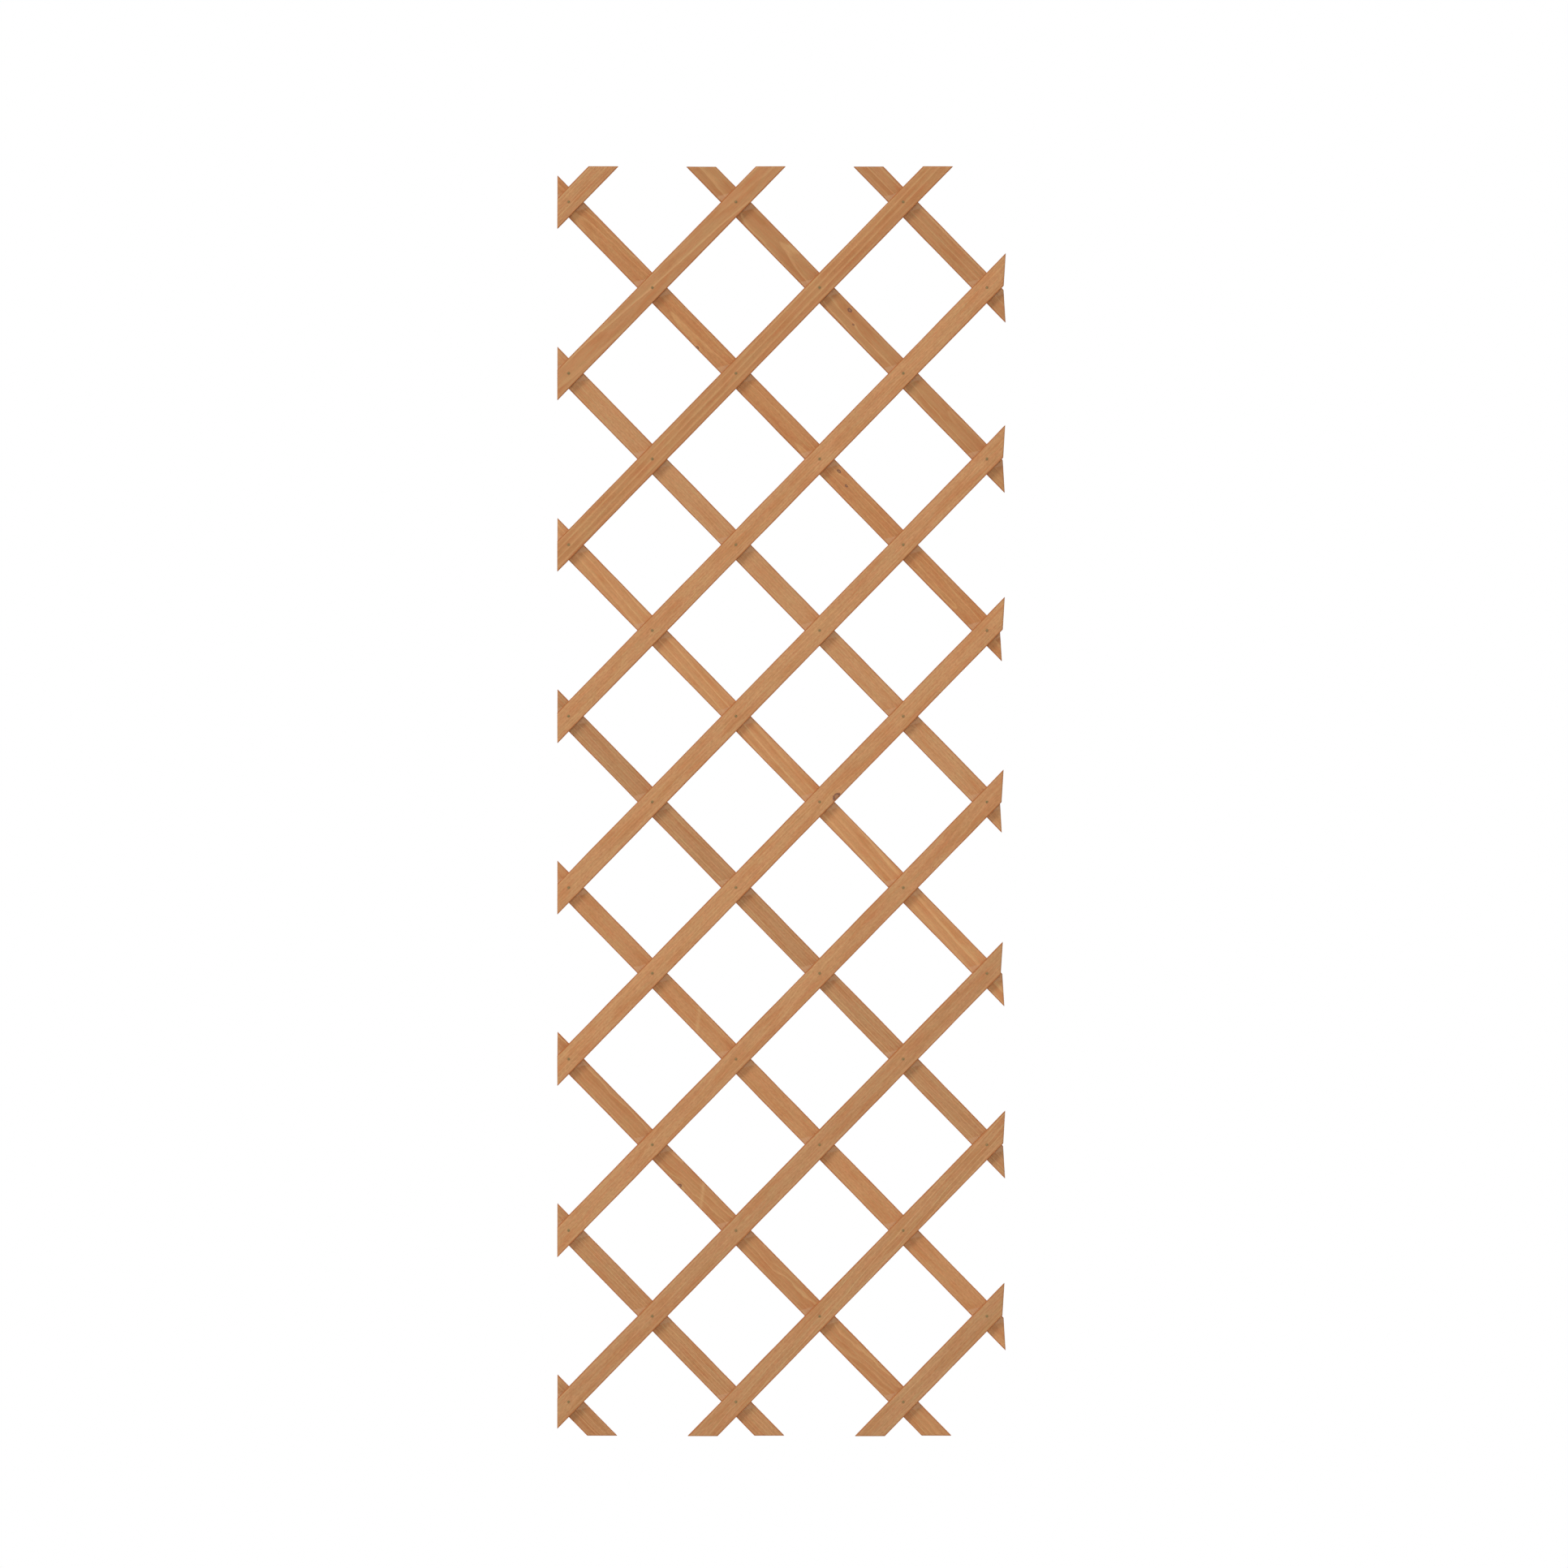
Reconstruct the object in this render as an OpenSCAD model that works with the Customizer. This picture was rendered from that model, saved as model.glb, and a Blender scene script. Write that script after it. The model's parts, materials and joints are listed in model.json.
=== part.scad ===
// Expanding wooden trellis panel.
// Two layers of parallel slats cross each other, with one rivet at each crossing, so that the whole
// lattice draws out tall and narrow or closes short and wide, like a concertina.
// Millimetres. X runs to the right and Z up as the panel hangs, and Y runs back, towards the wall.
// The origin is the middle of the outline, on the plane where the two layers slide on each other.

/* [Lattice] */
// Distance between neighbouring rivets along a slat
rivet_pitch = 168; // [120:1:220]
// Angle of the slats above the horizontal, with the panel drawn out for use
slat_angle = 45.7; // [38:0.1:52]
// Columns of rivets across the panel
columns = 6; // [4:1:8]
// Rows of rivets down the panel
rows = 15; // [9:1:17]

/* [Outline] */
// From the first column of rivets to the left edge
left_margin = 16; // [12:0.5:30]
// From the last column of rivets to the right-hand ends, measured along the middle of a slat
right_margin = 25; // [12:0.5:30]
// From the first row of rivets to the top edge
top_margin = 50; // [30:0.5:70]
// From the last row of rivets to the bottom edge
bottom_margin = 48; // [30:0.5:70]
// How far the right-hand ends are cut off the upright, in degrees
end_skew = 3.5; // [0:0.1:6]

/* [Slats] */
// Width of a slat
slat_w = 30; // [20:0.5:40]
// Thickness of a slat
slat_t = 8; // [5:0.5:12]
// Width of the flat that eases each long edge
edge_ease = 0.8; // [0.2:0.1:2]

/* [Rivets] */
// Diameter of the shank
shank_d = 2; // [1.6:0.1:2.4]
// Diameter of the head, in front
head_d = 3.3; // [3:0.1:6]
// Depth of the head below the face of the slat
head_depth = 1; // [0.6:0.1:2]
// Height of the head's crown above the face of the slat
crown_h = 0.4; // [0.1:0.1:0.8]
// Diameter of the hammered tail, behind
tail_d = 4.6; // [4:0.1:6]
// Depth of the hammered tail below the back face
tail_depth = 1.2; // [0.6:0.1:2]
// How much the hammered tail narrows towards its end, on the radius
tail_taper = 0.4; // [0.1:0.1:0.5]

/* [Fits] */
// Radial running clearance of a shank in its holes
bore_clearance = 0.08; // [0.02:0.01:0.1]
// Radial clearance of a head or tail in its recess
recess_clearance = 0.2; // [0.1:0.05:0.5]
// Clearance under a head, under a tail and from a tail's end to the back face
end_float = 0.1; // [0.05:0.05:0.2]
// Gap between the two layers of slats
slip_gap = 0.2; // [0.1:0.05:0.5]

/* [Hidden] */
$fn = 48;
front_wood = [0.745, 0.535, 0.36];
rear_wood = [0.715, 0.505, 0.335];
rivet_metal = [0.5, 0.46, 0.33];

half_col = rivet_pitch * cos(slat_angle);
half_row = rivet_pitch * sin(slat_angle);
outline_w = left_margin + (columns - 1) * half_col + right_margin;
outline_h = top_margin + (rows - 1) * half_row + bottom_margin;
left_x = -outline_w / 2;
right_x = outline_w / 2;
top_y = outline_h / 2;
bottom_y = -outline_h / 2;
face_z = slip_gap / 2 + slat_t;
reach = outline_w + outline_h;

front_count = floor((columns + rows - 2) / 2) + 1;
rear_first = -2 * floor((columns - 1) / 2);
rear_count = floor((rows - 1 - rear_first) / 2) + 1;
centre_col = floor(columns / 2);
middle_row = floor((rows - 1) / 2);
centre = [centre_col, middle_row + (centre_col + middle_row) % 2];

// The panel is drawn lying flat, face up: flat x is X, flat y is Z and flat z points out of the front.
// A crossing is [column, row], counted from the top left. The slats of a layer are counted downwards.
function on_panel(row) = row >= 0 && row < rows;
function front_crossings(k) =
    [for (i = [0 : columns - 1]) let (j = 2 * (k - 1) - i) if (on_panel(j)) [i, j]];
function rear_crossings(k) =
    [for (i = [0 : columns - 1]) let (j = rear_first + 2 * (k - 1) + i) if (on_panel(j)) [i, j]];
function place(crossing) =
    [left_x + left_margin + crossing[0] * half_col, top_y - top_margin - crossing[1] * half_row, 0];

function two_digits(k) = k < 10 ? str("0", k) : str(k);
function front_name(k) = str("front_slat_", two_digits(k));
function rear_name(k) = str("rear_slat_", two_digits(k));
function rivets_name(k) = str("rivets_front_", two_digits(k));

// Stands the flat drawing up, with its face to -Y.
module upright() {
    rotate([90, 0, 0]) children();
}

// Uncut length of slat along flat x, lying on z = 0, with its four long edges eased.
module slat_stock() {
    half_w = slat_w / 2;
    section = [
        [half_w - edge_ease, 0], [half_w, edge_ease],
        [half_w, slat_t - edge_ease], [half_w - edge_ease, slat_t],
        [edge_ease - half_w, slat_t], [-half_w, slat_t - edge_ease],
        [-half_w, edge_ease], [edge_ease - half_w, 0]
    ];
    rotate([90, 0, 90])
        linear_extrude(2 * reach, center = true)
            polygon(section);
}

// Slat through its crossings, lying on z = 0 and drilled for its rivets. Its ends are cut upright on the
// left, level at the top and bottom, and skewed on the right, where the tip of each slat stands out.
module slat(crossings, angle) {
    through = place(crossings[0]);
    end_y = through[1] + (right_x - through[0]) * tan(angle);
    end_turn = angle > 0 ? -end_skew : end_skew;
    difference() {
        intersection() {
            translate(through) rotate(angle) slat_stock();
            translate([left_x, bottom_y, 0]) cube([reach, outline_h, slat_t]);
            translate([right_x, end_y, 0]) rotate(end_turn)
                translate([-2 * reach, -reach, 0]) cube([2 * reach, 2 * reach, slat_t]);
        }
        for (crossing = crossings)
            translate(place(crossing))
                translate([0, 0, -slat_t]) cylinder(d = shank_d + 2 * bore_clearance, h = 3 * slat_t);
    }
}

// Front slat: rises to the right, and takes the rivet heads in recesses in its face.
module front_slat(k) {
    color(front_wood) upright()
        translate([0, 0, slip_gap / 2])
            difference() {
                slat(front_crossings(k), slat_angle);
                for (crossing = front_crossings(k))
                    translate(place(crossing))
                        translate([0, 0, slat_t - head_depth])
                            cylinder(d = head_d + 2 * recess_clearance, h = slat_t);
            }
}

// Rear slat: falls to the right, and takes the hammered tails in recesses in its back.
module rear_slat(k) {
    color(rear_wood) upright()
        translate([0, 0, -face_z])
            difference() {
                slat(rear_crossings(k), -slat_angle);
                for (crossing = rear_crossings(k))
                    translate(place(crossing))
                        translate([0, 0, tail_depth - slat_t])
                            cylinder(d = tail_d + 2 * recess_clearance, h = slat_t);
            }
}

// One rivet at the flat origin: a low crowned head in front, a shank and a hammered tail behind.
module rivet() {
    head_under = face_z - head_depth + end_float;
    head_top = face_z + crown_h;
    tail_end = end_float - face_z;
    tail_under = tail_depth - end_float - face_z;
    crown_r = (pow(head_d / 2, 2) + pow(crown_h, 2)) / (2 * crown_h);
    union() {
        translate([0, 0, tail_end]) cylinder(d = shank_d, h = face_z - tail_end);
        translate([0, 0, tail_end])
            cylinder(r1 = tail_d / 2 - tail_taper, r2 = tail_d / 2, h = tail_under - tail_end);
        intersection() {
            translate([0, 0, head_under]) cylinder(d = head_d, h = head_top - head_under);
            translate([0, 0, head_top - crown_r]) sphere(r = crown_r);
        }
    }
}

// The rivets that a front slat carries. The one in the middle of the panel is a piece of its own.
module front_rivets(k) {
    color(rivet_metal) upright()
        for (crossing = front_crossings(k))
            if (crossing != centre)
                translate(place(crossing)) rivet();
}

module centre_rivet() {
    color(rivet_metal) upright()
        translate(place(centre)) rivet();
}

centre_rivet();
for (k = [1 : front_count]) {
    front_slat(k);
    front_rivets(k);
}
for (k = [1 : rear_count])
    rear_slat(k);
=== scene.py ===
# %% [markdown]
# # Expanding wooden trellis
# The panel is two layers of thin softwood laths, sawn off along the outline and stained a warm brown.
# A small rivet goes through every crossing, so the whole lattice opens and closes like a concertina.
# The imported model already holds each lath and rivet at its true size. This lesson keeps those places and
# gives every piece the shape and finish that shows from close by: eased and slightly wavy lath edges,
# drilled seats, turned rivets with hammered tails, and wood whose figure runs right through it.

# %% Load the frame
import json
import math
from typing import NamedTuple

import bpy
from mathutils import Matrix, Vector


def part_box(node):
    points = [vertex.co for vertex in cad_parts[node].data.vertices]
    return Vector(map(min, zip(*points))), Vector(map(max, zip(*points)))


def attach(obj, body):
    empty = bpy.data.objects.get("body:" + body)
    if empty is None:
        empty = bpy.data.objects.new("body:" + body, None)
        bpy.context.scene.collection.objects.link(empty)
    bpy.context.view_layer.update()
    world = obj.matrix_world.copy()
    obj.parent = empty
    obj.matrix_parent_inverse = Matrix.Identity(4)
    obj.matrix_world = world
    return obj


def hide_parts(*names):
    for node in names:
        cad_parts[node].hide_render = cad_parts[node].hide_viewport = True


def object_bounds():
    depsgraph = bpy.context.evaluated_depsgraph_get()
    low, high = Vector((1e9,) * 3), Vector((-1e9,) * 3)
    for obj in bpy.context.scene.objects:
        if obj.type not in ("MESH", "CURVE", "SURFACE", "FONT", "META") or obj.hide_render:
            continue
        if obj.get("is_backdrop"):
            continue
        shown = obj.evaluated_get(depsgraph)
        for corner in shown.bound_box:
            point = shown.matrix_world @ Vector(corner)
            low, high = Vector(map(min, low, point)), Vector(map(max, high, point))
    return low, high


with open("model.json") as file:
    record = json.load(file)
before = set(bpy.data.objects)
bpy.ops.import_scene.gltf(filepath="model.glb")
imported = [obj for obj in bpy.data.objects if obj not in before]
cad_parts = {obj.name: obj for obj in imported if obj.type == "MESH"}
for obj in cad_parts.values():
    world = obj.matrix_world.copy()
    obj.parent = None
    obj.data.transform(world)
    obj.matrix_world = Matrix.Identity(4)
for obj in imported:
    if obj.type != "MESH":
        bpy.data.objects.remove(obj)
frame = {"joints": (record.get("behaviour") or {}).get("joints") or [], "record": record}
cad_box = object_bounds()

# %% [markdown]
# ## The lattice
# Everything hangs on the grid of rivets. Six columns and fifteen rows of places make a chequerboard, and
# a rivet sits on every second one. The grid could be typed in as forty-five points, but it follows from
# three numbers and one known point, so it is worked out: the rivet in the middle of the panel gives the
# point, and the pitch and the angle of the laths give the rest. The last line compares the result with
# the pivots that the model declares, so a wrong number would show at once.

# %% Rivet grid
MM = 0.001
COLUMNS = 6
ROWS = 15
RIVET_PITCH = 168 * MM
LATH_ANGLE = math.radians(45.7)
CENTRE_CELL = (3, 7)

column_step = RIVET_PITCH * math.cos(LATH_ANGLE)
row_step = RIVET_PITCH * math.sin(LATH_ANGLE)
rivet_low, rivet_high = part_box("centre_rivet")
grid_centre = (rivet_low + rivet_high) / 2


def crossing(column, row):
    """Where the rivet of one grid cell sits, on the plane between the two layers."""
    x = grid_centre.x + (column - CENTRE_CELL[0]) * column_step
    z = grid_centre.z - (row - CENTRE_CELL[1]) * row_step
    return Vector((x, 0, z))


def nearest_rivet(point):
    """How far a point lies from the closest place in the grid."""
    cells = [(i, j) for i in range(COLUMNS) for j in range(ROWS) if (i + j) % 2 == 0]
    return min((Vector(point) - crossing(*cell)).length for cell in cells)


pivot_error = max(nearest_rivet(joint["pos_m"]) for joint in frame["joints"])
print(f"grid step {column_step / MM:.2f} x {row_step / MM:.2f} mm")
print(f"worst pivot {pivot_error / MM:.3f} mm off the grid")

# %% [markdown]
# ## Two layers
# The front laths rise to the right and the rear laths fall, so one layer is the mirror image of the other.
# A side of -1 or 1 tells them apart, and turns every formula that follows the right way round. Where the
# layers lie in depth is read from a long lath of each.

# %% Layers
LATH_WIDTH = 30 * MM


class Layer(NamedTuple):
    """One layer of laths: side, faces in depth, the row of its first lath in column 0, and a seed."""
    name: str
    side: float
    near: float
    far: float
    first_row: int
    seed: float

    @property
    def turn(self):
        """The angle about the depth axis that lays the X axis along these laths."""
        return self.side * LATH_ANGLE

    @property
    def middle(self):
        return (self.near + self.far) / 2


def measured_layer(name, side, sample, first_row, seed):
    """A layer with the depth of one of its packed laths."""
    low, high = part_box(sample)
    return Layer(name, side, low.y, high.y, first_row, seed)


FRONT = measured_layer("front", side=-1.0, sample="front_slat_06", first_row=0, seed=0.0)
REAR = measured_layer("rear", side=1.0, sample="rear_slat_05", first_row=-4, seed=50.0)
lath_thickness = FRONT.far - FRONT.near
print(f"lath section {LATH_WIDTH / MM:.1f} x {lath_thickness / MM:.1f} mm")

# %% [markdown]
# ## Formulas as nodes
# Both the lath shapes and the wood figure are arithmetic on coordinates. In the node editor each plus or
# times is a Math node, and a long formula becomes a wide web of them. Here a small class wraps an output
# socket, and its operators add the Math node and the links, so a formula in the script reads as a formula.
# The same Math, Map Range and Noise nodes work in geometry trees and in shader trees.

# %% Nodes and links
def plug(value, socket):
    """Links a signal to a socket, or writes a plain number, vector or colour into it."""
    if isinstance(value, Signal):
        value.tree.links.new(value.socket, socket)
    else:
        socket.default_value = value


def add_node(tree, kind, inputs=None, **settings):
    """Adds a node, sets its properties and fills its input sockets by name or by number."""
    node = tree.nodes.new(kind)
    for setting, value in settings.items():
        setattr(node, setting, value)
    for label, value in (inputs or {}).items():
        plug(value, node.inputs[label])
    return node


def result(tree, kind, inputs=None, output=0, **settings):
    """Adds a node and returns one of its outputs as a signal."""
    return Signal(add_node(tree, kind, inputs, **settings).outputs[output])


def math_step(operation):
    """A method of signals that adds one Math node."""
    def step(*operands):
        inputs = dict(enumerate(operands))
        return result(operands[0].tree, "ShaderNodeMath", inputs, operation=operation)
    return step


print("node helpers ready")


# %% Signals
class Signal:
    """An output socket that can stand in a formula."""
    __add__ = __radd__ = math_step("ADD")
    __sub__ = math_step("SUBTRACT")
    __mul__ = __rmul__ = math_step("MULTIPLY")
    __truediv__ = math_step("DIVIDE")
    __mod__ = math_step("FLOORED_MODULO")
    __abs__ = math_step("ABSOLUTE")
    __lt__ = math_step("LESS_THAN")
    __gt__ = math_step("GREATER_THAN")
    least = math_step("MINIMUM")
    most = math_step("MAXIMUM")
    root = math_step("SQRT")
    exponent = math_step("EXPONENT")
    floor = math_step("FLOOR")
    fraction = math_step("FRACT")
    rounded = math_step("ROUND")
    sign = math_step("SIGN")

    def __init__(self, socket):
        self.socket = socket
        self.tree = socket.id_data

    def __rsub__(self, other):
        return self * -1 + other

    def rise(self, low, high):
        """0 up to low, 1 from high on, and a soft step between."""
        limits = {"Value": self, "From Min": low, "From Max": high}
        return result(self.tree, "ShaderNodeMapRange", limits, interpolation_type="SMOOTHSTEP")

    def fade(self, low, high):
        """1 up to low, 0 from high on, and a soft step between."""
        return 1 - self.rise(low, high)

    def split(self):
        """The three parts of a vector."""
        return [Signal(part) for part in add_node(self.tree, "ShaderNodeSeparateXYZ", {0: self}).outputs]


print("signals ready")


# %% Vectors and noise
def join(tree, x, y, z):
    """A vector from three numbers or signals."""
    return result(tree, "ShaderNodeCombineXYZ", {"X": x, "Y": y, "Z": z})


def noise(tree, x, y, z, detail=2.0):
    """Smooth noise from 0 to 1 with features about one unit apart."""
    values = {"Vector": join(tree, x, y, z), "Scale": 1.0, "Detail": detail}
    return result(tree, "ShaderNodeTexNoise", values)


def swing(tree, x, y, z):
    """The same noise about zero, from -0.5 to 0.5."""
    return noise(tree, x, y, z) - 0.5


def distance(x, y):
    """Straight distance from two signals at right angles."""
    return (x * x + y * y).root()


print("noise ready")

# %% [markdown]
# ## Groups
# What many laths share goes into a node group: it is built once, with named sockets, and every material
# that places it gives it values of its own. The nodes could also be copied into each material, but then a
# change would have to be made twenty times. These groups put out masks, colours and heights, and no shader.

# %% Group helpers
NUMBER = "NodeSocketFloat"
WHOLE = "NodeSocketInt"
ARROW = "NodeSocketVector"
COLOUR = "NodeSocketColor"
SHAPE = "NodeSocketGeometry"
FINISH = "NodeSocketMaterial"


def new_group(name, kind, inputs, outputs):
    """An empty node group: its tree, and its named inputs as signals."""
    tree = bpy.data.node_groups.new(name, kind)
    for label, socket_type in inputs.items():
        tree.interface.new_socket(name=label, in_out="INPUT", socket_type=socket_type)
    for label, socket_type in outputs.items():
        tree.interface.new_socket(name=label, in_out="OUTPUT", socket_type=socket_type)
    start = add_node(tree, "NodeGroupInput")
    return tree, {label: Signal(start.outputs[label]) for label in inputs}


def hand_out(tree, values):
    """Links the results of a group to its outputs, and returns the finished tree."""
    add_node(tree, "NodeGroupOutput", values)
    return tree


def place_group(tree, group, values):
    """Puts a shader group into a material, and returns its outputs by name."""
    node = add_node(tree, "ShaderNodeGroup", values, node_tree=group)
    return {socket.name: Signal(socket) for socket in node.outputs}


print("group helpers ready")

# %% [markdown]
# ## Knots
# A knot is where a branch ran out of the trunk. On a lath it shows as a small dark-rimmed oval, and the
# grain parts round it like water round a stone. A picture of a knot could be pasted on, but the grain
# would run straight into it. This group bends the coordinates instead: close to the knot every point is
# pulled towards the knot's own grain line, so whatever figure is drawn afterwards flows round it.
# Coordinates are in millimetres: along the lath from its first rivet, through it, and across it.

# %% Knot group
KNOT_STRETCH = 1.5
# Soft steps, in radii of the knot.
CORE_ENDS = (0.7, 1.2)
RIM_STARTS = (0.25, 0.7)
RIM_ENDS = (0.85, 1.25)
WOBBLE = 0.9
WOBBLE_WIDTH, WOBBLE_DEPTH = 2.4, 6.0
FLOW_REACH = 2.6
FLOW_STRETCH = 2.4
FLOW_PULL = 0.85


def build_knot_group():
    numbers = ("Along", "Across", "Radius", "Core", "Rim")
    inputs = {"Lath": ARROW, **dict.fromkeys(numbers, NUMBER)}
    outputs = {"Lath": ARROW, "Core": NUMBER, "Rim": NUMBER}
    tree, given = new_group("Knot", "ShaderNodeTree", inputs, outputs)
    along, depth, across = given["Lath"].split()
    off_along = along - given["Along"]
    off_across = across - given["Across"]
    wobble = swing(tree, along / WOBBLE_WIDTH, depth / WOBBLE_DEPTH, across / WOBBLE_WIDTH)
    # From the middle of the knot outwards, in radii.
    outwards = distance(off_along / KNOT_STRETCH, off_across) / given["Radius"] + wobble * WOBBLE
    core = outwards.fade(*CORE_ENDS)
    rim = outwards.rise(*RIM_STARTS) * outwards.fade(*RIM_ENDS)
    reach = distance(off_along / FLOW_STRETCH, off_across) / (given["Radius"] * FLOW_REACH)
    pull = (reach * reach * -1).exponent() * FLOW_PULL
    return hand_out(tree, {
        "Lath": join(tree, along, depth, across - off_across * pull),
        "Core": given["Core"].most(core),
        "Rim": given["Rim"].most(rim),
    })


knot_group = build_knot_group()
print("knot group:", len(knot_group.nodes), "nodes")

# %% [markdown]
# ## Growth rings
# A lath is a thin slice of a tree, so its figure is set by where the heart of the tree was. With the heart
# far off to one side the rings show as straight fine lines. With the heart just below the face, and not
# quite parallel to it, they show as long pointed arches. A flat stripe texture can only give the first.
# Here the ring number is the distance from a leaning heart line, so one group gives both, and the rings
# agree on the face, the edge and the sawn end of a lath. Three slow noises bend the heart line and the
# rings, and a fourth makes some rings wider than others. Stain soaks into the soft early wood and leaves
# the hard late wood pale, so the late wood is the fine pale line, with an abrupt outer side.

# %% Ring group
SWAY_LENGTH, SWAY_WIDTH = 150.0, 50.0
ROLL_LENGTH, ROLL_WIDTH = 190.0, 70.0
RIPPLE_LENGTH, RIPPLE_WIDTH = 34.0, 14.0
ROLL_APART = 9.0
ROLL_SHARE = 1.6
RIPPLE_SHARE = 0.3
UNEVEN_RATE = 0.45
UNEVEN_RINGS = 1.6
SEED_STRIDE = 13.0
LINE_EDGE = 0.2
LINE_ENDS = (0.25, 1.0)
WEAKEST_LINE = 0.2
RING_FADE = 0.4


def build_ring_group():
    numbers = ("Heart Across", "Heart Depth", "Lean", "Dip", "Ring Width", "Line Width", "Wander", "Seed")
    inputs = {"Lath": ARROW, **dict.fromkeys(numbers, NUMBER)}
    tree, given = new_group("Growth rings", "ShaderNodeTree", inputs, {"Line": NUMBER, "Band": NUMBER})
    along, depth, across = given["Lath"].split()
    seed, wander, ring_width = given["Seed"], given["Wander"], given["Ring Width"]
    sway = swing(tree, along / SWAY_LENGTH + seed, depth / SWAY_WIDTH, across / SWAY_WIDTH)
    roll_depth = depth / ROLL_WIDTH + ROLL_APART
    roll = swing(tree, along / ROLL_LENGTH + seed, roll_depth, across / ROLL_WIDTH)
    ripple = swing(tree, along / RIPPLE_LENGTH + seed, depth / RIPPLE_WIDTH, across / RIPPLE_WIDTH)
    side = across - given["Heart Across"] - given["Lean"] * along + sway * wander
    deep = depth + given["Heart Depth"] + given["Dip"] * along + roll * wander * ROLL_SHARE
    count = (distance(side, deep) + ripple * wander * RIPPLE_SHARE) / ring_width
    ring = count + noise(tree, count * UNEVEN_RATE + seed, seed, 0.0) * UNEVEN_RINGS
    part = ring.fraction()
    number = ring.floor() + seed * SEED_STRIDE
    strength = result(tree, "ShaderNodeTexWhiteNoise", {"W": number}, noise_dimensions="1D")
    to_outside = (1 - part) * ring_width
    line = (to_outside / given["Line Width"]).fade(*LINE_ENDS) * to_outside.rise(0.0, LINE_EDGE)
    return hand_out(tree, {
        "Line": line * (strength * (1 - WEAKEST_LINE) + WEAKEST_LINE),
        "Band": part * RING_FADE + strength * (1 - RING_FADE),
    })


ring_group = build_ring_group()
print("ring group:", len(ring_group.nodes), "nodes")

# %% [markdown]
# ## Fibre, pores, streaks and specks
# Between the rings the wood isn't even either. Fibres make hair-fine stripes along the lath, and short
# darker dashes show where the stain sank into open pores. The stain lies in broader streaks, reddish dashes
# and cloudy patches. All of these are the same noise, stretched along the grain by different amounts, so a
# small table gives the length and the width of each, and a loop builds them. A few dark specks of resin or
# bark are left. They come from a Voronoi texture, which scatters one point in each cell, and a random number
# for each cell keeps only a few of them.

# %% Fibre group
class Grain(NamedTuple):
    """Noise along the grain: its size in millimetres, its detail, and the values that become 0 and 1."""
    length: float
    width: float
    detail: float
    low: float
    high: float
    seed_side: float = 1.0


GRAINS = {
    "Hair": Grain(16.0, 0.3, 1.0, 0.25, 0.75),
    "Fibre": Grain(45.0, 0.9, 3.0, 0.25, 0.75),
    "Pore": Grain(3.6, 1.2, 1.0, 0.45, 0.75),
    "Fleck": Grain(5.5, 1.7, 3.0, 0.3, 0.7),
    "Streak": Grain(90.0, 3.0, 4.0, 0.28, 0.72),
    "Cloud": Grain(60.0, 12.0, 3.0, 0.25, 0.75),
    "Blush": Grain(20.0, 1.8, 2.0, 0.3, 0.7, seed_side=-1.0),
}
SPECK_CELL_LENGTH, SPECK_CELL_WIDTH = 30.0, 15.0
SPECK_CHANCE = 0.2
SPECK_SMALLEST, SPECK_SPREAD = 0.02, 0.04
SPECK_ENDS = (0.6, 1.1)


def build_fibre_group():
    outputs = dict.fromkeys((*GRAINS, "Speck"), NUMBER)
    tree, given = new_group("Fibre", "ShaderNodeTree", {"Lath": ARROW, "Seed": NUMBER}, outputs)
    along, depth, across = given["Lath"].split()
    seed = given["Seed"]
    masks = {}
    for label, grain in GRAINS.items():
        along_grain = along / grain.length + seed * grain.seed_side
        field = noise(tree, along_grain, depth / grain.width, across / grain.width, grain.detail)
        masks[label] = field.rise(grain.low, grain.high)
    along_cell = along / SPECK_CELL_LENGTH + seed
    cell = join(tree, along_cell, depth / SPECK_CELL_LENGTH, across / SPECK_CELL_WIDTH)
    scatter = add_node(tree, "ShaderNodeTexVoronoi", {"Vector": cell, "Scale": 1.0})
    chance, size, _ = Signal(scatter.outputs["Color"]).split()
    from_point = Signal(scatter.outputs["Distance"])
    dot = (from_point / (size * SPECK_SPREAD + SPECK_SMALLEST)).fade(*SPECK_ENDS)
    masks["Speck"] = dot * (chance > 1 - SPECK_CHANCE)
    return hand_out(tree, masks)


fibre_group = build_fibre_group()
print("fibre group:", len(fibre_group.nodes), "nodes")

# %% [markdown]
# ## Marks of making
# Some marks come from how the panel was made, and they follow the lath and not the tree. Stain gathers in a
# dark line on the eased edges, is wiped thin just inside them, and soaks into the sawn ends. It darkens
# round the rivets. And the panel was dipped when it was partly folded, so where two laths lay on each other
# the stain never reached: now that the lattice is drawn out, a pale corner of each footprint peeks out
# beside the crossing. The footprint is a strip as wide as a lath, turned by the angle between the layers at
# the time. The distance to the sawn end comes from the lath's own mesh as an attribute, because each end is
# cut at another slant.

# %% Marks group
DIPPED_ANGLE = math.radians(60.4)
# Soft steps, in millimetres from an edge, a saw cut, the middle of a rivet or the rim of a footprint.
ARRIS_ENDS = (0.81, 1.89)
EDGE_ENDS = (0.81, 1.755)
WIPED_STARTS, WIPED_ENDS = (1.08, 2.16), (2.7, 5.4)
SAW_ENDS = (0.405, 1.35)
RUST_ENDS = (1.8, 3.2)
PRINT_ENDS = (-1.8, 0.8)
RAGGED_LENGTH, RAGGED_DEPTH, RAGGED_WIDTH = 14.0, 5.0, 9.0
RAGGED_EDGE, RAGGED_CUT, RAGGED_RUST, RAGGED_PRINT = 0.9, 0.5, 1.5, 1.6
SIDE_STAIN = 0.35
SAW_STAIN = 0.8
SAWN_FACE = 0.15
SLIP_FACE = 0.7


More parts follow.
